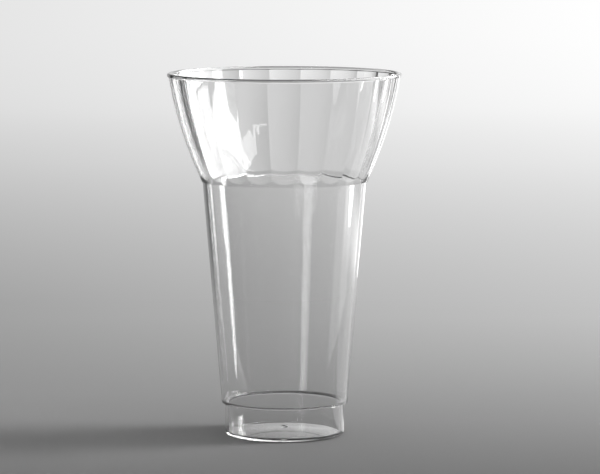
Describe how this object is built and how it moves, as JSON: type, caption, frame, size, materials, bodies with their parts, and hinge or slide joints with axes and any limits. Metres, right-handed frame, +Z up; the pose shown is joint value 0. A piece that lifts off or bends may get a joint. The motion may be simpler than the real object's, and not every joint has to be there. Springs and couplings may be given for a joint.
{
  "type": "parfait glass",
  "caption": "Clear plastic parfait glass: a flared, fluted bowl with a thin lip, a smooth tapering body and a short stepped foot with a domed floor, for layered desserts and drinks.",
  "frame": {"origin": "middle of the ring the glass stands on, on the table", "axes": "+Z up along the glass's axis, -Y towards the viewer of the picture, +X to the right"},
  "size_m": [0.0877, 0.0876, 0.136],
  "materials": {
    "clear_plastic": "clear, polished by the mould"
  },
  "bodies": {
    "root": {"fluted_bowl": "clear_plastic", "tapered_body": "clear_plastic", "foot_cup": "clear_plastic"}
  },
  "joints": []
}
